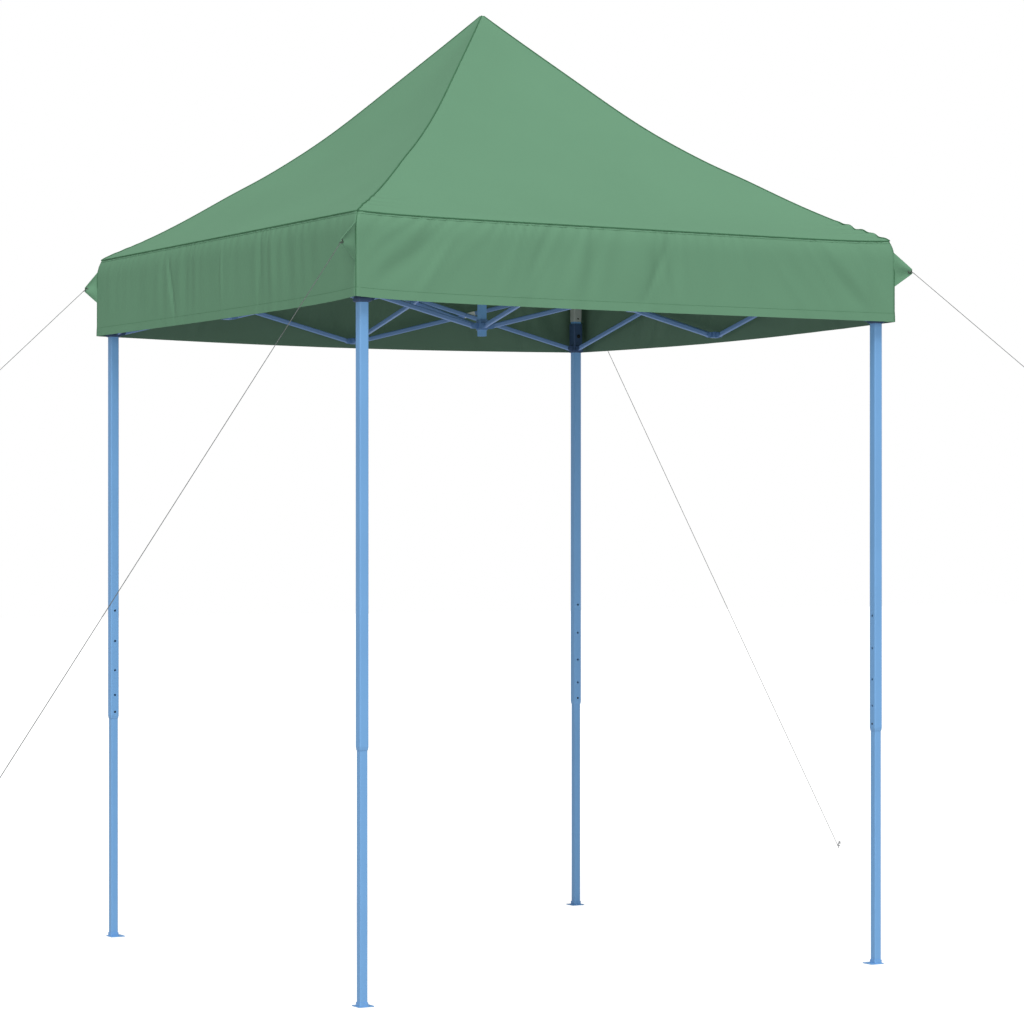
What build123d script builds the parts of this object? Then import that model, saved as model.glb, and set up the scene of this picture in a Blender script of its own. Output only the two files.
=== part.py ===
from build123d import *
import math
import os

# Pop-up gazebo: four telescopic legs, a folding scissor truss with a centre pole, and a fabric roof.
# Millimetres. The origin is on the floor under the centre pole and +Z is up.
# Corners are front (-X, -Y), right (+X, -Y), back (+X, +Y) and left (-X, +Y).

os.makedirs("parts", exist_ok=True)

# Driving dimensions of the frame
leg_offset = 930.0          # leg centre from the centre planes
pivot_low = 2075.0          # height of the lower row of pivots
pivot_high = 2290.0         # height of the upper row of pivots
leg_pivot = 32.0            # pivot from the leg centre
mid_pivot = 22.0            # pivot from the centre of a mid-side connector
hub_pivot = 32.0            # pivot from the centre pole
corner_names = ("front", "right", "back", "left")
side_names = ("front_right", "back_right", "back_left", "front_left")

# Truss bars: flat oval tube riveted at both ends and in the middle
bar_depth = 16.0
bar_width = 10.0
bar_wall = 1.0
bar_edge = 4.0
bar_core = 12.0
bar_plane_offset = 5.3      # each bar of a crossing pair lies this far from the pair's own plane
pin_radius = 3.0
pin_hole_radius = 3.2
rivet_head_radius = 5.0
rivet_head_height = 1.4
side_gap = 0.3

# Forks that the bars turn in
cheek = 2.0
cheek_radius = 9.0
block_height = 21.0
block_half = 12.0
block_shift = 0.3           # towards the side on which the forks stand
block_corner = 2.5

# Legs
post_size = 30.0
post_wall = 1.2
post_corner = 4.5
post_bottom = 760.0
post_top = 2300.0
bush_height = 10.0
bush_bore = 25.8
inner_size = 25.0
inner_wall = 1.2
inner_corner = 3.6
inner_top = 1060.0
snap_radius = 3.5
snap_stand = 1.0
adjuster_heights = (772.0, 830.0, 915.0, 1015.0, 1120.0)
adjuster_radius = 4.0
foot_size = 51.0
foot_shift = 6.0
foot_thickness = 2.5
foot_collar_size = 29.5
foot_collar_height = 13.0
peg_hole_radius = 4.0
peg_hole_inset = 24.0      # from the leg centre
peg_hole_spacing = 30.0

# Slider and corner bracket
slider_bottom = 2060.0
slider_top = 2167.0
slider_size = 37.0
slider_bore = 31.0
slider_flange = 42.0
slider_flange_height = 10.0
button_height = 2120.0
button_radius = 7.0
button_stand = 3.5
button_length = 3.8
bracket_bottom = 2175.0
bracket_top = 2312.0
bracket_size = 33.0
bracket_bore = 30.4

# Hubs and centre pole
pole_size = 24.0
pole_wall = 1.5
pole_corner = 3.0
pole_bottom = 2041.0
pole_top = 3068.0
cap_top = 3092.0
hub_size = 31.0
hub_corner = 4.5
low_hub_bottom = 2061.0
low_hub_top = 2096.0
high_hub_bottom = 2262.0
high_hub_top = 2318.0

# Canopy
eave_half = 962.0
eave_height = 2324.0
valance_half = 975.0
valance_bottom = 2064.0
peak_height = 3106.0
peak_half = 18.0
roof_curve = 1.3            # above 1, so that the roof dishes between peak and eave
roof_steps = 7
fabric_build = 2.0
tab_top = 2296.0
tab_bottom = 2166.0
tab_tip_height = 2225.0
tab_tip_half = 1010.0

# Guy ropes, from the corner tab to the ground peg
rope_radius = 1.0
rope_clearance = 8.0
rope_low_end = 10.0
peg_places = {
    "front": (-3280.0, -2640.0),
    "right": (3000.0, -2600.0),
    "back": (3030.0, 2163.0),
    "left": (-3100.0, 2000.0),
}
tab_tips = {
    "front": (-1045.0, -1022.0, 2225.0),
    "right": (1012.0, -1012.0, 2225.0),
    "back": (1034.0, 1004.0, 2225.0),
    "left": (-1004.0, 1004.0, 2225.0),
}

# Worked-out dimensions
bar_rise = pivot_high - pivot_low
bar_run = leg_offset - leg_pivot - mid_pivot
bar_length = math.hypot(bar_run, bar_rise)
cheek_near = bar_width / 2 + side_gap
cheek_far = cheek_near + cheek


def save(piece, name):
    piece.label = name
    export_step(piece, f"parts/{name}.step")


def fork(pivot, direction, bar_centre, root):
    """A fork of two cheeks with its rivet. The fork points along the horizontal direction from
    the upright line under its pivot, and bar_centre says where the bar's own plane lies."""
    with BuildPart() as piece:
        across = Vector(0, 0, 1).cross(direction)
        middle = pivot + across * bar_centre
        upright = Plane(origin=middle, x_dir=direction, z_dir=across * -1)
        for side in (-1, 1):
            with BuildSketch(upright.offset(side * (cheek_near + cheek / 2))):
                with Locations((-root / 2, 0)):
                    Rectangle(root, 2 * cheek_radius)
                Circle(cheek_radius)
            extrude(amount=cheek / 2, both=True)
        with BuildSketch(upright):
            Circle(pin_radius)
        extrude(amount=cheek_far, both=True)
        with BuildSketch(upright.offset(cheek_far), upright.offset(-cheek_far - rivet_head_height)):
            Circle(rivet_head_radius)
        extrude(amount=rivet_head_height)
    return piece.part


def tube(size, wall, corner, bottom, top):
    with BuildPart() as piece:
        with BuildSketch(Plane.XY.offset(bottom)):
            RectangleRounded(size, size, corner)
            RectangleRounded(size - 2 * wall, size - 2 * wall, corner - wall, mode=Mode.SUBTRACT)
        extrude(amount=top - bottom)
    return piece.part


def truss_bar(start, direction, rises, rivet_side):
    """One bar from the pivot at start, running along the horizontal direction. rivet_side is
    0 for the bar with the middle hole, and +1 or -1 for the bar with the middle rivet."""
    slope = (direction * bar_run + Vector(0, 0, 1) * (bar_rise * rises)).normalized()
    across = Vector(0, 0, 1).cross(direction) * -1
    flat = Plane(origin=start, x_dir=slope, z_dir=across)
    with BuildPart() as bar:
        with BuildSketch(flat):
            with Locations((bar_length / 2, 0)):
                SlotCenterToCenter(bar_length, bar_depth)
        extrude(amount=bar_width / 2, both=True)
        fillet(bar.faces().filter_by(flat).edges(), radius=bar_edge)
        with BuildSketch(flat):
            with Locations((bar_length / 2, 0)):
                core_length = bar_length - 2 * bar_depth
                RectangleRounded(core_length, bar_core, bar_edge)
        extrude(amount=bar_width / 2 - bar_wall, both=True, mode=Mode.SUBTRACT)
        with BuildSketch(flat):
            with Locations((0, 0), (bar_length, 0)):
                Circle(pin_hole_radius)
            if rivet_side == 0:
                with Locations((bar_length / 2, 0)):
                    Circle(pin_hole_radius)
        extrude(amount=bar_width, both=True, mode=Mode.SUBTRACT)
        if rivet_side != 0:
            pair_width = 2 * bar_plane_offset + bar_width / 2 + side_gap
            with BuildSketch(flat):
                with Locations((bar_length / 2, 0)):
                    Circle(pin_radius)
            extrude(amount=rivet_side * (pair_width + rivet_head_height))
            with BuildSketch(flat.offset(rivet_side * pair_width)):
                with Locations((bar_length / 2, 0)):
                    Circle(rivet_head_radius)
            extrude(amount=rivet_side * rivet_head_height)
            with BuildSketch(flat.offset(-rivet_side * bar_width / 2)):
                with Locations((bar_length / 2, 0)):
                    Circle(rivet_head_radius)
            extrude(amount=-rivet_side * rivet_head_height)
    return bar.part


# Every side of the truss is the same, so each piece is made for the front_right side, which faces
# -Y and runs along +X, or for the front corner, and is turned about the pole for the others.
along = Vector(1, 0, 0)
inward = Vector(0, 1, 0)
outer_y = -leg_offset - bar_plane_offset
inner_y = -leg_offset + bar_plane_offset

side_bars = {
    "bar_rising_1": truss_bar(Vector(-mid_pivot, outer_y, pivot_low), along * -1, 1, 1),
    "bar_rising_2": truss_bar(Vector(mid_pivot, outer_y, pivot_low), along, 1, -1),
    "bar_falling_1": truss_bar(Vector(-mid_pivot, inner_y, pivot_high), along * -1, -1, 0),
    "bar_falling_2": truss_bar(Vector(mid_pivot, inner_y, pivot_high), along, -1, 0),
    "arm_falling": truss_bar(
        Vector(bar_plane_offset, -hub_pivot, pivot_high), inward * -1, -1, 1
    ),
    "arm_rising": truss_bar(
        Vector(-bar_plane_offset, -hub_pivot, pivot_low), inward * -1, 1, 0
    ),
}
for name, bar in side_bars.items():
    for turn, side in enumerate(side_names):
        save(bar.rotate(Axis.Z, 90 * turn), f"{side}_{name}")

# Mid-side connectors: a block with two forks for the side's bars and one for the arm to the hub
side_middle = Vector(0, -leg_offset, 0)
for connector, height, level in (("low_connector", pivot_low, 1), ("top_connector", pivot_high, -1)):
    middle = side_middle + Vector(0, 0, height)
    with BuildPart() as mid_side:
        with BuildSketch(Plane(origin=middle - Vector(0, 0, block_height / 2))):
            with Locations((0, -level * block_shift)):
                RectangleRounded(2 * block_half, 2 * (block_half + block_shift), block_corner)
        extrude(amount=block_height)
        fillet(mid_side.faces().filter_by(Axis.Z).edges(), radius=1.5)
        add(fork(middle + along * mid_pivot, along, -level * bar_plane_offset, mid_pivot))
        add(fork(middle - along * mid_pivot, along * -1, level * bar_plane_offset, mid_pivot))
        arm_root = mid_pivot - (1.0 if level == 1 else 10.8)
        add(fork(middle + inward * mid_pivot, inward, -level * bar_plane_offset, arm_root))
    for turn, side in enumerate(side_names):
        save(mid_side.part.rotate(Axis.Z, 90 * turn), f"{side}_{connector}")

# Hubs on the centre pole: the lower one is fixed to the pole and the upper one slides on it
pole_bore = {"lower_hub": pole_size + 0.04, "upper_hub": pole_size + 1.0}
for name, height, bottom, top, level in (
    ("lower_hub", pivot_low, low_hub_bottom, low_hub_top, -1),
    ("upper_hub", pivot_high, high_hub_bottom, high_hub_top, 1),
):
    with BuildPart() as hub:
        with BuildSketch(Plane.XY.offset(bottom)):
            RectangleRounded(hub_size, hub_size, hub_corner)
        extrude(amount=top - bottom)
        fillet(hub.faces().filter_by(Axis.Z).edges(), radius=1.5)
        for turn in range(4):
            direction = Vector(0, -1, 0).rotate(Axis.Z, 90 * turn)
            pivot = direction * hub_pivot + Vector(0, 0, height)
            add(fork(pivot, direction, level * bar_plane_offset, hub_pivot - 14.5))
        with BuildSketch(Plane.XY.offset(bottom)):
            RectangleRounded(pole_bore[name], pole_bore[name], pole_corner)
        extrude(amount=top - bottom, mode=Mode.SUBTRACT)
    save(hub.part, name)

# Centre pole with its domed cap under the peak of the roof
with BuildPart() as centre_pole:
    add(tube(pole_size, pole_wall, pole_corner, pole_bottom, pole_top))
    with BuildSketch(Plane.XY.offset(pole_top)):
        RectangleRounded(pole_size, pole_size, pole_corner)
    extrude(amount=cap_top - pole_top)
    fillet(centre_pole.faces().sort_by(Axis.Z)[-1].edges(), radius=9)
save(centre_pole.part, "centre_pole")

# Corner pieces, made for the front corner
corner = Vector(-leg_offset, -leg_offset, 0)
corner_plane = Plane(origin=corner)


def corner_forks(height, level, root):
    at_height = corner + Vector(0, 0, height)
    forks = fork(at_height + along * leg_pivot, along, level * bar_plane_offset, root)
    return forks + fork(at_height + inward * leg_pivot, inward, -level * bar_plane_offset, root)


with BuildPart() as corner_bracket:
    with BuildSketch(corner_plane.offset(bracket_bottom)):
        RectangleRounded(bracket_size, bracket_size, post_corner)
    extrude(amount=bracket_top - bracket_bottom)
    fillet(corner_bracket.faces().sort_by(Axis.Z)[-1].edges(), radius=3)
    add(corner_forks(pivot_high, -1, leg_pivot - 15.5))
    with BuildSketch(corner_plane.offset(bracket_bottom)):
        RectangleRounded(bracket_bore, bracket_bore, post_corner)
    extrude(amount=post_top - bracket_bottom, mode=Mode.SUBTRACT)

# The catch buttons and adjusting holes face along the truss side that each corner shows
faces_along_x = {"front": True, "right": False, "back": False, "left": True}

for turn, name in enumerate(corner_names):
    save(corner_bracket.part.rotate(Axis.Z, 90 * turn), f"{name}_corner_bracket")
    if faces_along_x[name]:
        face = Plane(origin=corner, x_dir=(0, 1, 0), z_dir=(1, 0, 0))
    else:
        face = Plane(origin=corner, x_dir=(-1, 0, 0), z_dir=(0, 1, 0))

    # Outer leg tube with its adjusting holes and a tapered bush at its mouth
    with BuildPart() as outer_leg:
        with BuildSketch(Plane.XY.offset(post_bottom - bush_height)):
            with Locations((corner.X, corner.Y)):
                RectangleRounded(post_size - 3, post_size - 3, post_corner - 1)
        with BuildSketch(Plane.XY.offset(post_bottom)):
            with Locations((corner.X, corner.Y)):
                RectangleRounded(post_size, post_size, post_corner)
        loft()
        with BuildSketch(Plane.XY.offset(post_bottom - bush_height)):
            with Locations((corner.X, corner.Y)):
                RectangleRounded(bush_bore, bush_bore, inner_corner)
        extrude(amount=bush_height, mode=Mode.SUBTRACT)
        add(tube(post_size, post_wall, post_corner, post_bottom, post_top).translate(corner))
        with BuildSketch(face):
            for height in adjuster_heights:
                with Locations((0, height)):
                    Circle(adjuster_radius)
        extrude(amount=post_size, mode=Mode.SUBTRACT)
    save(outer_leg.part.rotate(Axis.Z, 90 * turn), f"{name}_outer_leg")

    # Inner leg tube with its foot plate, collar, snap button and holes behind those of the outer tube
    with BuildPart() as inner_leg:
        add(tube(inner_size, inner_wall, inner_corner, foot_thickness, inner_top).translate(corner))
        with BuildSketch(corner_plane):
            with Locations((foot_shift, foot_shift)):
                RectangleRounded(foot_size, foot_size, post_corner)
            for shift in (0, -peg_hole_spacing):
                with Locations((peg_hole_inset, peg_hole_inset + shift)):
                    Circle(peg_hole_radius, mode=Mode.SUBTRACT)
        extrude(amount=foot_thickness)
        with BuildSketch(corner_plane.offset(foot_thickness)):
            RectangleRounded(foot_collar_size, foot_collar_size, post_corner)
            RectangleRounded(inner_size, inner_size, inner_corner, mode=Mode.SUBTRACT)
        extrude(amount=foot_collar_height - foot_thickness)
        with BuildSketch(face):
            for height in adjuster_heights[1:-1]:
                with Locations((0, height)):
                    Circle(adjuster_radius)
        extrude(amount=inner_size, mode=Mode.SUBTRACT)
        with BuildSketch(face.offset(inner_size / 2 - inner_wall)):
            with Locations((0, adjuster_heights[0])):
                Circle(snap_radius)
        extrude(amount=inner_wall + snap_stand)
    save(inner_leg.part.rotate(Axis.Z, 90 * turn), f"{name}_inner_leg")

    # Slider that the lower bars hang from, with a hole for its catch button
    with BuildPart() as slider:
        with BuildSketch(corner_plane.offset(slider_bottom)):
            RectangleRounded(slider_size, slider_size, post_corner)
        extrude(amount=slider_top - slider_bottom)
        fillet(slider.faces().filter_by(Axis.Z).edges(), radius=1.2)
        with BuildSketch(corner_plane.offset(slider_bottom + 2)):
            RectangleRounded(slider_flange, slider_flange, post_corner)
        extrude(amount=slider_flange_height)
        add(corner_forks(pivot_low, 1, leg_pivot - 16.5))
        with BuildSketch(corner_plane.offset(slider_bottom)):
            RectangleRounded(slider_bore, slider_bore, post_corner)
        extrude(amount=slider_top - slider_bottom, mode=Mode.SUBTRACT)
        with BuildSketch(face):
            with Locations((0, button_height)):
                Circle(button_radius + side_gap)
        extrude(amount=slider_size, mode=Mode.SUBTRACT)
    save(slider.part.rotate(Axis.Z, 90 * turn), f"{name}_slider")

    # Catch button that is pressed to let the slider go down
    with BuildPart() as button:
        with BuildSketch(face.offset(slider_size / 2 + button_stand - button_length)):
            with Locations((0, button_height)):
                Circle(button_radius)
        extrude(amount=button_length)
        fillet(button.faces().sort_by(Axis(corner, face.z_dir))[-1].edges(), radius=1.2)
    save(button.part.rotate(Axis.Z, 90 * turn), f"{name}_catch_button")


# Canopy: one sewn cover with a dished four-sided roof, an upright valance and a tab at each corner
def roof_height(half_width):
    share = (eave_half - half_width) / (eave_half - peak_half)
    return eave_height + (peak_height - eave_height) * share**roof_curve


def canopy_levels(shrink, drop):
    levels = [(valance_half - shrink, valance_bottom)]
    for step in range(roof_steps):
        half_width = peak_half + (eave_half - peak_half) * (1 - step / (roof_steps - 1))
        levels.append((half_width - shrink, roof_height(half_width) - drop))
    return levels


with BuildPart() as canopy:
    for shrink, drop, mode in ((0, 0, Mode.ADD), (fabric_build, fabric_build, Mode.SUBTRACT)):
        levels = canopy_levels(shrink, drop)
        for lower, upper in zip(levels, levels[1:]):
            for half_width, height in (lower, upper):
                with BuildSketch(Plane.XY.offset(height)):
                    Rectangle(2 * half_width, 2 * half_width)
            loft(ruled=True, mode=mode)
    for turn in range(4):
        seam = Plane.XY.rotated((0, 0, 45 + 90 * turn))
        upright = Plane(origin=(0, 0, 0), x_dir=seam.x_dir, z_dir=seam.y_dir * -1)
        root = (valance_half + eave_half) / 2 * math.sqrt(2)
        with BuildSketch(upright):
            with BuildLine():
                tip = (tab_tip_half * math.sqrt(2), tab_tip_height)
                Polyline((root - 6, tab_bottom), tip, (root - 6, tab_top), close=True)
            make_face()
        extrude(amount=fabric_build / 2, both=True)
save(canopy.part, "canopy")

# Guy ropes: each is pulled straight from its corner tab to a peg in the ground
for name in corner_names:
    tip = Vector(*tab_tips[name])
    peg = Vector(*peg_places[name], rope_low_end)
    pull = (peg - tip).normalized()
    rope_start = tip + pull * rope_clearance
    with BuildPart() as rope:
        with BuildSketch(Plane(origin=rope_start, z_dir=pull)):
            Circle(rope_radius)
        extrude(amount=(peg - rope_start).length)
    save(rope.part, f"{name}_guy_rope")
    print(f"{name} guy rope, straight: {(peg - rope_start).length:.0f} mm, no turns")
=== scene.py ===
import math

import bpy
from mathutils import Matrix, Vector


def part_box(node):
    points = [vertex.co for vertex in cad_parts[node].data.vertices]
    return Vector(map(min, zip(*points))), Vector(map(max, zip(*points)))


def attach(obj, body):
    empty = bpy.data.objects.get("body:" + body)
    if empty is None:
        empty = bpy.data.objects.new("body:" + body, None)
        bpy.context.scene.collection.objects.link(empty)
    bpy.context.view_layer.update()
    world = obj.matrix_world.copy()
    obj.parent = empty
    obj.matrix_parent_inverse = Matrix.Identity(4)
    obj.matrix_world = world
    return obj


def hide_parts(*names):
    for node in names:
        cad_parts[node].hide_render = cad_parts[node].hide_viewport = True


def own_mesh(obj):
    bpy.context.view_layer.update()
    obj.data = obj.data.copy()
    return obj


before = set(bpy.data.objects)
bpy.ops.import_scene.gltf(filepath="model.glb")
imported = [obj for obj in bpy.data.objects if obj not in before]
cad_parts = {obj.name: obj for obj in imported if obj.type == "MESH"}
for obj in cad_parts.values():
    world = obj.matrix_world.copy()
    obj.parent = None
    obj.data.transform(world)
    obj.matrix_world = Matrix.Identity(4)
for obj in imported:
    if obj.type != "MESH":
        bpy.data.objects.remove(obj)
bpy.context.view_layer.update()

# ---------------------------------------------------------------- camera and studio
# A long lens at head height looks level at the gazebo from beyond its front corner,
# over a plain pale floor that runs into a white room.
camera_place = (-5.141, -9.070, 1.378)
camera_heading = -29.8      # degrees, from +Y
lens_length = 110.1
film_width = 36.0
lens_shift = (0.0157, 0.0229)
white = (1.0, 1.0, 1.0, 1.0)

camera_data = bpy.data.cameras.new("camera")
camera_data.sensor_width = film_width
camera_data.lens = lens_length
camera_data.shift_x, camera_data.shift_y = lens_shift
camera_data.clip_end = 200.0
camera = bpy.data.objects.new("camera", camera_data)
camera.location = camera_place
camera.rotation_euler = (math.radians(90.0), 0.0, math.radians(camera_heading))
bpy.context.scene.collection.objects.link(camera)
bpy.context.scene.camera = camera
bpy.context.scene.view_settings.view_transform = "Standard"

# The room is white to look at, and lights the gazebo more softly than it looks
room_strength = 0.32
world = bpy.data.worlds.new("white room")
world.use_nodes = True
room = world.node_tree
room_light = room.nodes["Background"]
room_light.inputs["Color"].default_value = white
room_light.inputs["Strength"].default_value = room_strength
room_wall = room.nodes.new("ShaderNodeBackground")
room_wall.inputs["Color"].default_value = white
room_ray = room.nodes.new("ShaderNodeLightPath")
room_choice = room.nodes.new("ShaderNodeMixShader")
room.links.new(room_ray.outputs["Is Camera Ray"], room_choice.inputs["Fac"])
room.links.new(room_light.outputs["Background"], room_choice.inputs[1])
room.links.new(room_wall.outputs["Background"], room_choice.inputs[2])
room.links.new(room_choice.outputs["Shader"], room.nodes["World Output"].inputs["Surface"])
bpy.context.scene.world = world

sun_spread = 30.0           # degrees


def soft_sun(name, towards, strength):
    """A broad light from far away, with soft shadows."""
    data = bpy.data.lights.new(name, "SUN")
    data.energy = strength
    data.angle = math.radians(sun_spread)
    sun = bpy.data.objects.new(name, data)
    sun.rotation_euler = Vector(towards).to_track_quat("Z", "Y").to_euler()
    bpy.context.scene.collection.objects.link(sun)


# One light from high over the front corner, and a low one that reaches under the roof
soft_sun("high light", (-0.20, -0.40, 0.89), 2.00)
soft_sun("low light", (-0.486, -0.849, 0.208), 0.68)

# The floor glows, so that it looks white, and takes only a soft shadow. Its glow lights the
# gazebo less than it looks, and the floor is clear from below, so that it hides nothing.
floor_size = 80.0
floor_height = -0.0005
floor_glow = 0.44
bpy.ops.object.select_all(action="DESELECT")
bpy.ops.mesh.primitive_plane_add(size=floor_size, location=(0.0, 0.0, floor_height))
floor = bpy.context.object
floor.name = "studio_floor"
floor_paint = bpy.data.materials.new("studio floor")
floor_paint.use_nodes = True
floor_nodes = floor_paint.node_tree.nodes
floor_links = floor_paint.node_tree.links
paint = floor_nodes["Principled BSDF"]
paint.inputs["Base Color"].default_value = (0.22, 0.22, 0.22, 1.0)
paint.inputs["Roughness"].default_value = 0.9
paint.inputs["Specular IOR Level"].default_value = 0.0
paint.inputs["Emission Color"].default_value = white
floor_ray = floor_nodes.new("ShaderNodeLightPath")
glow = floor_nodes.new("ShaderNodeMapRange")
glow.inputs["To Min"].default_value = floor_glow
floor_links.new(floor_ray.outputs["Is Camera Ray"], glow.inputs["Value"])
floor_links.new(glow.outputs["Result"], paint.inputs["Emission Strength"])
floor_face = floor_nodes.new("ShaderNodeNewGeometry")
clear = floor_nodes.new("ShaderNodeBsdfTransparent")
floor_choice = floor_nodes.new("ShaderNodeMixShader")
floor_links.new(floor_face.outputs["Backfacing"], floor_choice.inputs["Fac"])
floor_links.new(paint.outputs["BSDF"], floor_choice.inputs[1])
floor_links.new(clear.outputs["BSDF"], floor_choice.inputs[2])
floor_links.new(floor_choice.outputs["Shader"], floor_nodes["Material Output"].inputs["Surface"])
floor.data.materials.append(floor_paint)


# ---------------------------------------------------------------- guy ropes
# Thin grey cords, pulled tight from the eyelet of each corner tab to a peg in the ground.
# A small eye at the end of each rope is looped round the hook of its peg of bent steel rod.
corner_names = ("front", "right", "back", "left")
side_names = ("front_right", "back_right", "back_left", "front_left")
rope_diameter = 0.002
rope_route = {
    "front": ((-1.045, -1.022, 2.225), (-3.280, -2.640, 0.010)),
    "right": ((1.012, -1.012, 2.225), (3.000, -2.600, 0.010)),
    "back": ((1.034, 1.004, 2.225), (3.030, 2.163, 0.010)),
    "left": ((-1.004, 1.004, 2.225), (-3.100, 2.000, 0.010)),
}
rope_clearance = 0.008      # from the tab's tip to the start of the rope
rope_bend_room = 6 * rope_diameter
rope_colour = (0.13, 0.14, 0.14)
peg_radius = 0.003
peg_offset = 0.006          # from the rope's end to the middle of the peg
peg_profile = ((0.0, 0.0), (0.0, 0.012), (0.001, 0.022), (0.007, 0.028), (0.015, 0.026), (0.017, 0.018))
eye_points = 10
eye_reach = 0.0075
eye_half_width = 0.0065
eye_height = 0.0015
eye_tilt = 0.002


def new_material(name, colour, roughness):
    """A material with its Principled shader, and the shader's node, to which patterns are then linked."""
    material = bpy.data.materials.new(name)
    material.use_nodes = True
    shader = material.node_tree.nodes["Principled BSDF"]
    shader.inputs["Base Color"].default_value = (*colour, 1.0)
    shader.inputs["Roughness"].default_value = roughness
    return material, shader


def node_group(name, inputs, outputs):
    """An empty shader node group with named float, colour or vector sockets."""
    group = bpy.data.node_groups.new(name, "ShaderNodeTree")
    for socket, kind, value in inputs:
        made = group.interface.new_socket(socket, in_out="INPUT", socket_type=kind)
        if value is not None:
            made.default_value = value
    for socket, kind in outputs:
        group.interface.new_socket(socket, in_out="OUTPUT", socket_type=kind)
    entry = group.nodes.new("NodeGroupInput")
    leave = group.nodes.new("NodeGroupOutput")
    return group, entry, leave


def place_group(material, group, **values):
    """Places a node group in a material, with its own values."""
    node = material.node_tree.nodes.new("ShaderNodeGroup")
    node.node_tree = group
    for socket, value in values.items():
        node.inputs[socket.replace("_", " ")].default_value = value
    return node


# Soft blotches that most materials use: a slow change of tone over the surface
mottle, entry, leave = node_group(
    "mottle",
    [("Vector", "NodeSocketVector", None), ("Size", "NodeSocketFloat", 4.0),
     ("Low Colour", "NodeSocketColor", None), ("High Colour", "NodeSocketColor", None)],
    [("Colour", "NodeSocketColor"), ("Tone", "NodeSocketFloat")],
)
noise = mottle.nodes.new("ShaderNodeTexNoise")
noise.inputs["Detail"].default_value = 3.0
mix = mottle.nodes.new("ShaderNodeMix")
mix.data_type = "RGBA"
mottle.links.new(entry.outputs["Vector"], noise.inputs["Vector"])
mottle.links.new(entry.outputs["Size"], noise.inputs["Scale"])
mottle.links.new(noise.outputs["Fac"], mix.inputs["Factor"])
mottle.links.new(entry.outputs["Low Colour"], mix.inputs["A"])
mottle.links.new(entry.outputs["High Colour"], mix.inputs["B"])
mottle.links.new(mix.outputs["Result"], leave.inputs["Colour"])
mottle.links.new(noise.outputs["Fac"], leave.inputs["Tone"])


def shades(colour, spread):
    """A darker and a lighter shade of a colour."""
    low = tuple(c * (1 - spread) for c in colour) + (1.0,)
    high = tuple(min(1.0, c * (1 + spread)) for c in colour) + (1.0,)
    return low, high


def blotch(material, shader, size, low, high):
    """Lays soft blotches between two colours over a material. Gives back the nodes that place them."""
    nodes, links = material.node_tree.nodes, material.node_tree.links
    place = nodes.new("ShaderNodeTexCoord")
    tone = place_group(material, mottle, Size=size, Low_Colour=low, High_Colour=high)
    links.new(place.outputs["Object"], tone.inputs["Vector"])
    links.new(tone.outputs["Colour"], shader.inputs["Base Color"])
    return place, tone


def bump(material, shader, height, strength, distance):
    """Makes a height pattern stand out of the surface, by a distance in metres."""
    node = material.node_tree.nodes.new("ShaderNodeBump")
    node.inputs["Strength"].default_value = strength
    node.inputs["Distance"].default_value = distance
    material.node_tree.links.new(height, node.inputs["Height"])
    material.node_tree.links.new(node.outputs["Normal"], shader.inputs["Normal"])


rope_cord, shader = new_material("twisted grey cord", rope_colour, 0.75)
cord_place = blotch(rope_cord, shader, 30.0, *shades(rope_colour, 0.25))[0]
twist = rope_cord.node_tree.nodes.new("ShaderNodeTexWave")
twist.bands_direction = "DIAGONAL"
twist.inputs["Scale"].default_value = 180.0
rope_cord.node_tree.links.new(cord_place.outputs["Object"], twist.inputs["Vector"])
bump(rope_cord, shader, twist.outputs["Fac"], 0.4, 0.0004)

peg_steel, shader = new_material("zinc plated steel", (0.62, 0.63, 0.64), 0.32)
shader.inputs["Metallic"].default_value = 1.0
blotch(peg_steel, shader, 60.0, (0.45, 0.46, 0.47, 1.0), (0.75, 0.76, 0.77, 1.0))


def curve_along(name, points, radius, ring_steps, length_steps, cyclic=False):
    """A round cord along a smooth curve through given control points."""
    data = bpy.data.curves.new(name, "CURVE")
    data.dimensions = "3D"
    data.bevel_depth = radius
    data.bevel_resolution = ring_steps
    data.use_fill_caps = True
    spline = data.splines.new("NURBS")
    spline.points.add(len(points) - 1)
    for point, xyz in zip(spline.points, points):
        point.co = (*xyz, 1.0)
    spline.order_u = 3
    spline.use_endpoint_u = not cyclic
    spline.use_cyclic_u = cyclic
    spline.resolution_u = length_steps
    cord = bpy.data.objects.new(name, data)
    bpy.context.scene.collection.objects.link(cord)
    return cord


def rod_along(name, points, radius, material, cyclic=False, ring_steps=5):
    """A bent rod, wire or piping: the same curve, turned into a mesh."""
    rod = curve_along(name, points, radius, ring_steps, 8, cyclic)
    bpy.ops.object.select_all(action="DESELECT")
    rod.select_set(True)
    bpy.context.view_layer.objects.active = rod
    bpy.ops.object.convert(target="MESH")
    rod.data.materials.append(material)
    bpy.ops.object.shade_smooth_by_angle(angle=math.radians(40))
    return rod


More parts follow.
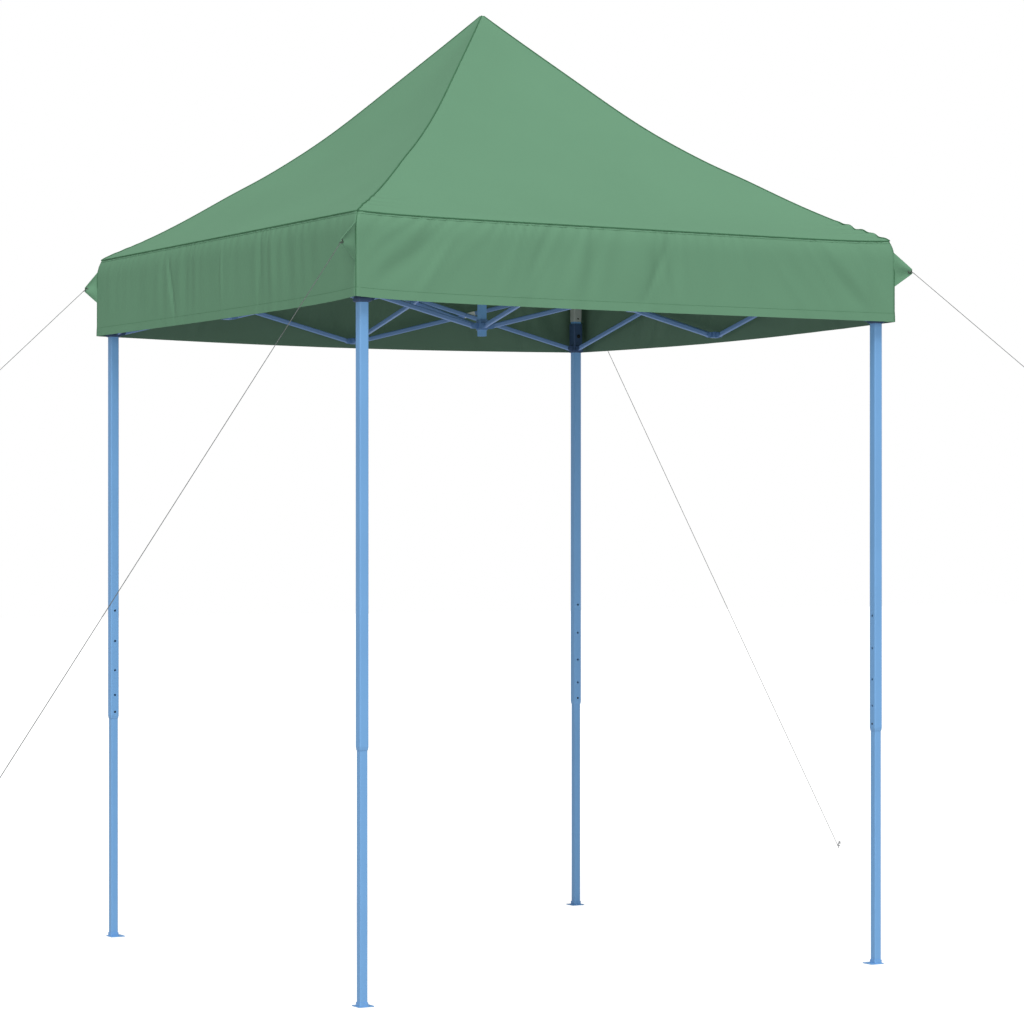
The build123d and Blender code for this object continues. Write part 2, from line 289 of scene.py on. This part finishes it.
for corner_name in corner_names:
    tip, peg = (Vector(p) for p in rope_route[corner_name])
    pull = (peg - tip).normalized()
    start = tip + pull * rope_clearance
    route = (start, start + pull * rope_bend_room, peg - pull * rope_bend_room, peg)
    rope = curve_along(f"{corner_name}_rope", route, rope_diameter / 2, 3, 12)
    rope.data.materials.append(rope_cord)

    # The peg is driven in beside the rope's end, and the rope's eye lies round its hook
    away = Vector((pull.x, pull.y, 0.0)).normalized()
    across = Vector((-away.y, away.x, 0.0))
    foot = Vector((peg.x, peg.y, 0.0)) + away * peg_offset
    bends = [foot + Vector((0, 0, z)) + away * x for x, z in peg_profile]
    peg_hook = rod_along(f"{corner_name}_peg", bends, peg_radius, peg_steel)
    loop = []
    for step in range(eye_points):
        turn = 2 * math.pi * step / eye_points
        lift = Vector((0, 0, eye_height - eye_tilt * math.cos(turn)))
        out = away * (peg_offset + eye_reach * math.cos(turn))
        loop.append(peg + out + across * eye_half_width * math.sin(turn) + lift)
    rope_eye = rod_along(f"{corner_name}_rope_eye", loop, rope_diameter / 2, rope_cord, cyclic=True)

    for piece in (peg_hook, rope_eye, rope):
        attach(piece, f"{corner_name}_outer_leg")
    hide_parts(f"{corner_name}_guy_rope")


# ---------------------------------------------------------------- powder coated tubes
# Legs and pole are square steel tube, bars and arms are flat oval tube, and the foot plates are
# pressed steel, all with a blue powder coat that is slightly pebbled. Hubs, connectors, sliders,
# brackets and catch buttons are moulded plastic.
gloss_spread = 0.08
pebble, entry, leave = node_group(
    "pebbled coat",
    [("Vector", "NodeSocketVector", None), ("Size", "NodeSocketFloat", 900.0)],
    [("Height", "NodeSocketFloat")],
)
noise = pebble.nodes.new("ShaderNodeTexNoise")
noise.inputs["Detail"].default_value = 2.0
pebble.links.new(entry.outputs["Vector"], noise.inputs["Vector"])
pebble.links.new(entry.outputs["Size"], noise.inputs["Scale"])
pebble.links.new(noise.outputs["Fac"], leave.inputs["Height"])


def hard_finish(name, colour, roughness, spread, blotch_size, grain, depth):
    """A coat or a plastic with faint blotches, uneven gloss and a pebbled skin."""
    material, shader = new_material(name, colour, roughness)
    nodes, links = material.node_tree.nodes, material.node_tree.links
    place, tone = blotch(material, shader, blotch_size, *shades(colour, spread))
    skin = place_group(material, pebble, Size=grain)
    links.new(place.outputs["Object"], skin.inputs["Vector"])
    gloss = nodes.new("ShaderNodeMapRange")
    gloss.inputs["To Min"].default_value = roughness - gloss_spread
    gloss.inputs["To Max"].default_value = roughness + gloss_spread
    links.new(tone.outputs["Tone"], gloss.inputs["Value"])
    links.new(gloss.outputs["Result"], shader.inputs["Roughness"])
    bump(material, shader, skin.outputs["Height"], 0.25, depth)
    return material


coat_skin = {"spread": 0.06, "blotch_size": 5.0, "grain": 900.0, "depth": 0.0004}
plastic_skin = {"spread": 0.08, "blotch_size": 20.0, "grain": 1400.0, "depth": 0.0003}
frame_coat = hard_finish("light blue powder coat", (0.19, 0.43, 0.78), 0.42, **coat_skin)
# The bars have the frame's powder coat, darkened here as painted shade for the shade under the roof
bar_coat_painted_shade = hard_finish("blue powder coat on bars with painted shade", (0.17, 0.31, 0.60), 0.42, **coat_skin)
# The sliders are blue like the frame; this dark blue is painted shade
slider_plastic_painted_shade = hard_finish("blue moulded plastic darkened as painted shade", (0.042, 0.088, 0.19), 0.5, **plastic_skin)
fitting_plastic = hard_finish("blue moulded plastic", (0.12, 0.25, 0.50), 0.5, **plastic_skin)
bracket_plastic = hard_finish("grey moulded plastic", (0.46, 0.50, 0.47), 0.6, **plastic_skin)
button_plastic = hard_finish("black moulded plastic", (0.012, 0.012, 0.013), 0.4, **plastic_skin)


def finish_of(node):
    """The coat or plastic of a piece of the frame, by its name."""
    if node.endswith("corner_bracket"):
        return bracket_plastic
    if node.endswith("catch_button"):
        return button_plastic
    if node.endswith("slider"):
        return slider_plastic_painted_shade
    if node.endswith("connector") or node.endswith("hub"):
        return fitting_plastic
    if "_bar_" in node or "_arm_" in node:
        return bar_coat_painted_shade
    return frame_coat


for node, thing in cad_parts.items():
    if node == "canopy" or node.endswith("guy_rope"):
        continue
    thing.data.materials.clear()
    thing.data.materials.append(finish_of(node))


# ---------------------------------------------------------------- canopy cloth
# Green coated polyester. Four roof panels are sewn together along the hips and to the valance
# along a piped seam. The roof is dished, because the corners and the pole stretch it.
eave_half = 0.962
eave_height = 2.324
valance_half = 0.975
valance_bottom = 2.064
peak_height = 3.106
peak_cover = 0.004          # room for the pole's cap under the peak, across and up
cloth = 0.0008
# The inner face is the same green cloth; its darker colour is painted shade for the underside of the roof
# and valance
cloth_colour = (0.150, 0.318, 0.196)
inner_shade_colour = (0.130, 0.225, 0.160)
tape_colour = (0.07, 0.19, 0.10)
roof_curve = 1.30           # 1 is a straight hip, and more is a hollow one
hip_shoulder = 0.0135       # how far the hips stand up just above the eave
hip_hollow = 0.0100         # and how far they sink further up
roof_sag = 0.016
eave_sag = 0.008
hip_bumps = (0.0014, 0.0025, 0.0014, 0.0004)
crease_height = 0.0012
roof_pieces = 8             # strips of each roof panel
strip_columns = 8
upper_rows = 34
lower_rows = 33
lower_start = 0.84          # from here to the eave the rows stand close together
lower_step = 1 / 200
roof_size = (1.92, 1.24)

weave, entry, leave = node_group(
    "weave",
    [("Vector", "NodeSocketVector", None), ("Threads", "NodeSocketFloat", 700.0)],
    [("Height", "NodeSocketFloat")],
)
warp = weave.nodes.new("ShaderNodeTexWave")
weft = weave.nodes.new("ShaderNodeTexWave")
weft.bands_direction = "Y"
cross = weave.nodes.new("ShaderNodeMath")
cross.operation = "MULTIPLY"
for thread in (warp, weft):
    weave.links.new(entry.outputs["Vector"], thread.inputs["Vector"])
    weave.links.new(entry.outputs["Threads"], thread.inputs["Scale"])
weave.links.new(warp.outputs["Fac"], cross.inputs[0])
weave.links.new(weft.outputs["Fac"], cross.inputs[1])
weave.links.new(cross.outputs["Value"], leave.inputs["Height"])


def cloth_finish(name, colour):
    """Coated cloth with faint blotches and a fine weave that follows the cloth."""
    material, shader = new_material(name, colour, 0.72)
    shader.inputs["Specular IOR Level"].default_value = 0.12
    place = blotch(material, shader, 2.2, *shades(colour, 0.05))[0]
    threads = place_group(material, weave, Threads=260.0)
    material.node_tree.links.new(place.outputs["UV"], threads.inputs["Vector"])
    bump(material, shader, threads.outputs["Height"], 0.2, 0.0003)
    return material


canopy_cloth = cloth_finish("green coated polyester", cloth_colour)
canopy_inner_shade = cloth_finish("inner face darkened as painted shade", inner_shade_colour)
seam_tape = cloth_finish("dark green seam tape", tape_colour)


def roof_profile(half):
    """Height of the hips where the roof is half wide."""
    share = min(max((eave_half - half) / eave_half, 0.0), 1.0)
    dish = share ** roof_curve
    shoulder = hip_shoulder * (1 - math.exp(-share / 0.022)) / (1 + math.exp((share - 0.39) / 0.03))
    hollow = -hip_hollow * math.exp(-((share - 0.60) / 0.14) ** 2)
    return eave_height + (peak_height + peak_cover - eave_height) * dish + shoulder + hollow


def side_frame(side):
    """Directions along and outward of one side of the square."""
    turn = math.radians(90 * side)
    return Vector((math.cos(turn), math.sin(turn), 0)), Vector((math.sin(turn), -math.cos(turn), 0))


def eave_drop(side, s):
    """How far the eave seam of the front_right side sags between its corners."""
    return -eave_sag * (1 - math.exp(-min(s, 1 - s) / 0.06)) if side == 0 else 0.0


def pucker(side, s, t):
    """Small bumps along the hips, where the seam tape gathers the cloth near the eave."""
    size = hip_bumps[(side + (s > 0.5)) % 4]
    near_hip = math.exp(-min(s, 1 - s) / 0.035)
    near_eave = min(1.0, max(0.0, (t - 0.86) / 0.04))
    off_seam = min(1.0, (1 - t) / 0.03)
    ripple = math.sin(215 * t + 2.0) + 0.6 * math.sin(120 * t + 1.1 * side)
    return size * near_hip * near_eave * off_seam * ripple


def roof_point(side, s, t):
    """A point of a roof panel. s runs along the eave, and t from the peak to the eave."""
    along, outward = side_frame(side)
    half = peak_cover + (eave_half - peak_cover) * t
    middle = math.sin(math.pi * s) * math.sin(math.pi * t)
    soft = 0.0022 * math.sin(5.3 * s + 2.1 * side + 7 * t) * middle
    edge = min(s, 1 - s) * 2
    low_down = max(0.0, t - 0.6) * min(1.0, (1 - t) / 0.05)
    creases = crease_height * math.sin(38 * s + 9 * t) * math.exp(-edge / 0.3) * low_down
    lift = pucker(side, s, t) - roof_sag * middle + soft + creases
    rise = roof_profile(half) + eave_drop(side, s) * t ** 6
    return along * (half * (2 * s - 1)) + outward * (half + 0.5 * lift) + Vector((0, 0, rise + lift))


valance_rows = 26
valance_columns = 144
valance_width = 1.95
valance_size = (valance_width, 0.26)
corner_round = 0.010
hem_start = 0.90
hem_fold = 0.0010           # the turned-up hem stands out by this
hem_dip = (-0.002, -0.012, -0.012, -0.002)
front_corner_lift = 0.010
fold_phase = (0.3, 1.9, 3.2, 4.4)
fold_fan = (0.24, 0.14, 0.12, 0.03)
fine_folds = (0.25, 0.30, 0.30, 0.45)
fold_depth = (0.0100, 0.0085, 0.0085, 0.0042)
# Single creases of each side: place at the seam, lean down to the hem, half width and height
sharp_creases = (
    ((0.36, -0.16, 0.020, 0.0040), (0.70, -0.14, 0.022, 0.0030), (1.10, -0.12, 0.016, -0.0035),
     (1.03, 0.09, 0.015, 0.0035), (1.44, 0.17, 0.020, 0.0045), (1.60, 0.15, 0.018, 0.0040)),
    ((0.42, -0.12, 0.018, 0.0035), (1.33, 0.14, 0.020, 0.0040)),
    ((0.55, -0.13, 0.020, 0.0040), (1.48, 0.10, 0.016, 0.0035)),
    ((0.60, 0.07, 0.011, -0.0060), (1.02, 0.01, 0.009, 0.0030), (1.31, -0.02, 0.010, -0.0030)),
)


def wave(x, length, phase):
    """A sine of this wavelength in metres."""
    return math.sin(2 * math.pi * x / length + phase)


def fold_wave(side, s, v):
    """How far the valance stands out from its plane. v runs from 0 at the eave to 1 at the hem.
    The folds fan out towards the corners, and hang more upright on the front_left side."""
    free = min(1.0, min(s, 1 - s) / 0.06) ** 1.5
    phase = fold_phase[side]
    place = s * valance_width
    uneven = 0.022 * wave(place, 0.61, phase) + 0.012 * wave(place, 0.27, 0.0)
    x = place + uneven - fold_fan[side] * (2 * s - 1) * v
    waves = 0.50 * wave(x, 0.185, phase)
    waves += fine_folds[side] * wave(x, 0.079, 2.3 * phase)
    waves += 0.55 * wave(x, 0.41, 1.3 * phase)
    waves *= 0.60 + 0.40 * wave(x, 0.77, 2 * phase)
    grow = math.sin(math.pi * min(1.0, v * 1.15 + 0.02)) * 0.7 + 0.30 * v
    under_seam = math.exp(-v / 0.14) * min(1, v / 0.03)
    creases = 0.0016 * wave(x, 0.047, phase + 5 * v) * under_seam
    for start, lean, width, height in sharp_creases[side]:
        creases += height * math.exp(-((place - start - lean * v) / width) ** 2) * math.sin(math.pi * v)
    return free * (fold_depth[side] * waves * grow + creases)


def valance_point(side, s, v):
    """A point of the valance, which stands out below the eave and is rounded at the corners."""
    along, outward = side_frame(side)
    z = eave_height + (valance_bottom - eave_height) * v
    shoulder = (valance_half - eave_half) * (1 - (1 - min(1.0, v / 0.30)) ** 3)
    half = eave_half + shoulder
    if v > hem_start:
        half += hem_fold
    x = half * (2 * s - 1)
    back = 0.0
    over = abs(x) - (half - corner_round)
    if over > 0:
        angle = over / corner_round * math.pi / 4
        back = corner_round * (1 - math.cos(angle))
        x = math.copysign(half - corner_round + corner_round * math.sin(angle), x)
    dip = hem_dip[side] * math.sin(math.pi * s) * v + eave_drop(side, s) * (1 - v)
    if side in (0, 3):
        from_front = s if side == 0 else 1 - s
        dip += front_corner_lift * math.exp(-from_front / 0.08) * v
    return along * x + outward * (half - back + fold_wave(side, s, v)) + Vector((0, 0, z + dip))


def surface_normal(surface, side, s, t):
    """Which way a surface faces at one of its points."""
    step = 0.002
    s0, s1 = max(0.0, s - step), min(1.0, s + step)
    t0, t1 = max(0.0, t - step), min(1.0, t + step)
    across = surface(side, s1, t) - surface(side, s0, t)
    down = surface(side, s, t1) - surface(side, s, t0)
    if across.length < 1e-9:
        across = side_frame(side)[0]
    return down.cross(across).normalized() if down.length > 0 else Vector((0, 0, 1))


def cloth_piece(name, surface, side, s_values, t_values, metres):
    """A thin closed piece of cloth over part of a surface, with the whole surface's own smooth
    normals, so that neighbouring pieces meet without a line between them."""
    rows, columns = len(t_values), len(s_values)
    count = rows * columns
    outer, normals = [], []
    for t in t_values:
        for s in s_values:
            outer.append(surface(side, s, t))
            normal = surface_normal(surface, side, s, t)
            if normal.dot(side_frame(side)[1] + Vector((0, 0, 0.6))) < 0:
                normal = -normal
            normals.append(normal)
    inner = [p - n * cloth for p, n in zip(outer, normals)]

    # Outer faces, inner faces and the cut edge all round. Their kinds are 1, -1 and 0.
    faces, kinds = [], []
    for row in range(rows - 1):
        for column in range(columns - 1):
            a = row * columns + column
            b, c, d = a + 1, a + columns, a + columns + 1
            faces += [(a, c, d, b), (a + count, b + count, d + count, c + count)]
            kinds += [1, -1]
    ring = list(range(columns))
    ring += [row * columns + columns - 1 for row in range(1, rows)]
    ring += [(rows - 1) * columns + column for column in range(columns - 2, -1, -1)]
    ring += [row * columns for row in range(rows - 2, 0, -1)]
    for a, b in zip(ring, ring[1:] + ring[:1]):
        faces.append((a, b, b + count, a + count))
        kinds.append(0)

    mesh = bpy.data.meshes.new(name)
    mesh.from_pydata(outer + inner, [], faces)
    mesh.materials.append(canopy_cloth)
    # The inner faces take the darker cloth, which is painted shade
    mesh.materials.append(canopy_inner_shade)
    uv = mesh.uv_layers.new(name="cloth")
    width, length = metres
    loop_normals = []
    for polygon, kind in zip(mesh.polygons, kinds):
        polygon.use_smooth = kind != 0
        polygon.material_index = 1 if kind < 0 else 0
        for loop in polygon.loop_indices:
            vertex = mesh.loops[loop].vertex_index % count
            s, t = s_values[vertex % columns], t_values[vertex // columns]
            uv.data[loop].uv = (s * width, t * length)
            loop_normals.append(normals[vertex] * kind if kind else polygon.normal.copy())
    mesh.normals_split_custom_set([tuple(n) for n in loop_normals])
    piece = bpy.data.objects.new(name, mesh)
    bpy.context.scene.collection.objects.link(piece)
    return piece


def fold_up(piece, spot):
    """Rides a piece of roof on the pole's lower hub, with a mesh of its own."""
    away = Vector((spot.x, spot.y, 0.0))
    away.normalize()
    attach(piece, "lower_hub")
    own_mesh(piece)


def gather_valance(piece, side):
    """Rides a piece of the valance on its side's top connector, with a mesh of its own."""
    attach(piece, f"{side_names[side]}_top_connector")
    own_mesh(piece)


roof_t = [lower_start * (i / upper_rows) ** 0.9 for i in range(upper_rows)]
roof_t += [lower_start + i * lower_step for i in range(lower_rows)]
for side, side_name in enumerate(side_names):
    for strip in range(roof_pieces):
        strip_s = [strip / roof_pieces + i / (strip_columns * roof_pieces) for i in range(strip_columns + 1)]
        piece = cloth_piece(f"{side_name}_roof_{strip + 1}", roof_point, side, strip_s, roof_t, roof_size)
        if strip == 0 and side == 0:
            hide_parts("canopy")
        fold_up(piece, roof_point(side, strip / (roof_pieces - 1), 1.0))

patch_share = 0.055
patch_columns = 8
patch_rows = 12
patch_proud = 0.0014


def patch_point(side, s, t):
    """A point of the patch, which stands off the roof at the peak and dips into it at its hem."""
    proud = patch_proud * (1 - 1.5 * t / patch_share)
    return roof_point(side, s, t) + (side_frame(side)[1] * 0.5 + Vector((0, 0, 1))) * proud


# A patch over the end of the pole, which keeps its shape and rides on the lower hub
patch_s = [i / patch_columns for i in range(patch_columns + 1)]
patch_t = [patch_share * i / patch_rows for i in range(patch_rows + 1)]
for side, side_name in enumerate(side_names):
    patch = cloth_piece(f"{side_name}_peak_patch", patch_point, side, patch_s, patch_t, roof_size)
    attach(patch, "lower_hub")

valance_s = [i / valance_columns for i in range(valance_columns + 1)]
valance_v = [i / valance_rows for i in range(valance_rows + 1)]
for side, side_name in enumerate(side_names):
    piece = cloth_piece(f"{side_name}_valance", valance_point, side, valance_s, valance_v, valance_size)
    gather_valance(piece, side)


# ---------------------------------------------------------------- seams, tabs and eyelets
# The hips and the eave are piped with dark green tape, the hem is stitched, and the valance is
# seamed at each corner. A triangular tab is sewn into each corner seam, with a pressed eyelet
# that the wire hook of the guy rope goes through.
piping_radius = 0.0022
stitch_radius = 0.0004
corner_seam_radius = 0.0013
on_cloth = 0.0002           # how far thread stands off the cloth
eave_points = 81
stitch_points = 161
corner_seam_points = 17

for side, side_name in enumerate(side_names):
    along, outward = side_frame(side)
    corner_name = corner_names[side]
    hip = [roof_point(side, 0.0, t) + Vector((0, 0, 0.0006)) for t in roof_t]
    piping = rod_along(f"{corner_name}_hip_piping", hip, piping_radius, seam_tape, ring_steps=2)
    fold_up(piping, hip[-1])
    eave = [valance_point(side, i / (eave_points - 1), 0.0) + outward * 0.0008 for i in range(eave_points)]
    piping = rod_along(f"{side_name}_eave_piping", eave, piping_radius, seam_tape, ring_steps=2)
    gather_valance(piping, side)
    for label, v in (("hem", hem_start - 0.006), ("seam", 0.030)):
        line = [valance_point(side, i / (stitch_points - 1), v) + outward * on_cloth
                for i in range(stitch_points)]
        thread = rod_along(f"{side_name}_{label}_stitch", line, stitch_radius, seam_tape, ring_steps=1)
        gather_valance(thread, side)
    edge = [valance_point(side, 0.0, i / (corner_seam_points - 1)) - (along - outward) * on_cloth
            for i in range(corner_seam_points)]
    seam = rod_along(f"{corner_name}_corner_seam", edge, corner_seam_radius, seam_tape, ring_steps=2)
    gather_valance(seam, side)

tab_root = 0.966            # along x and y
tab_root_low = 2.168
tab_root_high = 2.297
tab_tip_span = 0.014
tab_in_seam = 0.004
tab_past_tip = 1.02
tab_curl = 0.004
tab_cloth = 0.0016
eyelet_radius = 0.0055
eyelet_wire = 0.0016
eyelet_inset = 0.006
hook_wire = 0.0011
eyelet_steel, shader = new_material("dark nickel", (0.10, 0.10, 0.10), 0.35)
shader.inputs["Metallic"].default_value = 0.9


def stand(piece, place, facing, own_axis="Z", own_up="Y"):
    """Turns a piece's own axis to a direction, moves it to its place, and bakes both into its mesh."""
    piece.data.transform(facing.to_track_quat(own_axis, own_up).to_matrix().to_4x4())
    piece.data.transform(Matrix.Translation(place))
    piece.matrix_world = Matrix.Identity(4)


for corner_name in corner_names:
    tip, peg = (Vector(p) for p in rope_route[corner_name])
    pull = (peg - tip).normalized()
    corner_sign = Vector((math.copysign(1.0, tip.x), math.copysign(1.0, tip.y), 0.0))
    out = corner_sign.normalized()
    across = Vector((-out.y, out.x, 0.0))
    root = corner_sign * tab_root
    reach = Vector((tip.x - root.x, tip.y - root.y, 0.0))
    bpy.ops.object.select_all(action="DESELECT")
    bpy.ops.mesh.primitive_grid_add(x_subdivisions=12, y_subdivisions=16, size=1.0)
    tab = bpy.context.object
    tab.name = f"{corner_name}_rope_tab"
    for vertex in tab.data.vertices:
        u, v = vertex.co.x + 0.5, vertex.co.y + 0.5
        low = tab_root_low + (tip.z - tab_tip_span / 2 - tab_root_low) * u
        high = tab_root_high + (tip.z + tab_tip_span / 2 - tab_root_high) * u
        curl = across * tab_curl * math.sin(math.pi * u) * math.sin(2 * math.pi * v)
        level = Vector((0, 0, low + (high - low) * v))
        vertex.co = root - out * tab_in_seam * (1 - u) + reach * u * tab_past_tip + curl + level
    bpy.ops.object.modifier_add(type="SOLIDIFY")
    tab.modifiers[-1].thickness = tab_cloth
    tab.modifiers[-1].offset = 0.0
    bpy.ops.object.modifier_apply(modifier=tab.modifiers[-1].name)
    bpy.ops.object.shade_smooth_by_angle(angle=math.radians(40))
    tab.data.materials.append(canopy_cloth)
    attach(tab, f"{corner_name}_outer_leg")

    # Pressed eyelet ring through the tab's tip, and the small wire hook on the rope's end
    bpy.ops.object.select_all(action="DESELECT")
    bpy.ops.mesh.primitive_torus_add(major_radius=eyelet_radius, minor_radius=eyelet_wire,
                                     major_segments=28, minor_segments=10)
    eyelet = bpy.context.object
    eyelet.name = f"{corner_name}_eyelet"
    centre = tip - reach.normalized() * eyelet_inset
    stand(eyelet, centre, across)
    bpy.ops.object.shade_smooth()
    eyelet.data.materials.append(eyelet_steel)
    bends = [centre + across * 0.004, centre + across * 0.005 + pull * 0.005,
             tip + pull * 0.006 + across * 0.003, tip + pull * 0.010,
             tip + pull * 0.006 - across * 0.003, centre - across * 0.005 + pull * 0.005,
             centre - across * 0.004]
    hook = rod_along(f"{corner_name}_rope_hook", bends, hook_wire, eyelet_steel)
    for piece in (eyelet, hook):
        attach(piece, f"{corner_name}_outer_leg")


# ---------------------------------------------------------------- small frame pieces
# Each grey bracket is held by two small screws with a slot. A domed steel snap button looks out
# of the lowest hole of each outer leg, and one bar carries a short blank paper sleeve.
bracket_face = {"front": (1, 0), "right": (-1, 0), "back": (0, -1), "left": (0, -1)}
screw_radius = 0.0032
screw_slot_half = 0.0006
screw_slot_depth = 0.0007
screw_above_bracket_foot = 0.011
screw_out = 0.0165          # from the middle of the leg
button_radius = 0.0034
button_height = 0.772
button_out = 0.0133
screw_steel, shader = new_material("blackened screw steel", (0.03, 0.03, 0.032), 0.4)
shader.inputs["Metallic"].default_value = 0.8
for corner_name in corner_names:
    face = Vector((*bracket_face[corner_name], 0))
    leg_low, leg_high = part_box(f"{corner_name}_outer_leg")
    centre = (leg_low + leg_high) / 2
    screw_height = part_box(f"{corner_name}_corner_bracket")[0].z + screw_above_bracket_foot
    for label, direction in (("screw_1", face), ("screw_2", -face)):
        bpy.ops.object.select_all(action="DESELECT")
        bpy.ops.mesh.primitive_uv_sphere_add(segments=20, ring_count=10, radius=screw_radius)
        screw = bpy.context.object
        screw.name = f"{corner_name}_bracket_{label}"
        for vertex in screw.data.vertices:
            vertex.co.z = max(vertex.co.z, 0.0) * 0.5
            if vertex.co.z > 0.0012 and abs(vertex.co.x) < screw_slot_half:
                vertex.co.z -= screw_slot_depth
        stand(screw, Vector((centre.x, centre.y, screw_height)) + direction * screw_out, direction)
        bpy.ops.object.shade_smooth()
        screw.data.materials.append(screw_steel)
        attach(screw, f"{corner_name}_outer_leg")

    # The snap button belongs to the inner leg, and rides on it
    bpy.ops.object.select_all(action="DESELECT")
    bpy.ops.mesh.primitive_uv_sphere_add(segments=24, ring_count=12, radius=button_radius)
    button = bpy.context.object
    button.name = f"{corner_name}_snap_button"
    button_place = Vector((centre.x, centre.y, button_height)) + face * button_out
    stand(button, button_place, face)
    bpy.ops.object.shade_smooth()
    button.data.materials.append(screw_steel)
    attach(button, f"{corner_name}_inner_leg")
    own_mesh(button)

sleeve_paper, shader = new_material("blank paper sleeve", (0.84, 0.86, 0.84), 0.7)
blotch(sleeve_paper, shader, 80.0, (0.80, 0.82, 0.80, 1.0), (0.88, 0.90, 0.88, 1.0))
sleeve_size = (0.046, 0.0108, 0.0168)
sleeve_bevel = 0.0022
sleeve_along_bar = 0.468
bar_foot = Vector((0.022, 0.9353, 2.075))
bar_slope = Vector((0.876, 0.0, 0.215)).normalized()
bpy.ops.object.select_all(action="DESELECT")
bpy.ops.mesh.primitive_cube_add(size=1.0)
sleeve = bpy.context.object
sleeve.name = "blank_label_sleeve"
sleeve.scale = sleeve_size
bpy.ops.object.transform_apply(location=False, rotation=False, scale=True)
bpy.ops.object.mode_set(mode="EDIT")
bpy.ops.mesh.bevel(offset=sleeve_bevel, segments=3)
bpy.ops.object.mode_set(mode="OBJECT")
stand(sleeve, bar_foot + bar_slope * sleeve_along_bar, bar_slope, "X", "Z")
sleeve.data.materials.append(sleeve_paper)
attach(sleeve, "back_left_bar_rising_1")
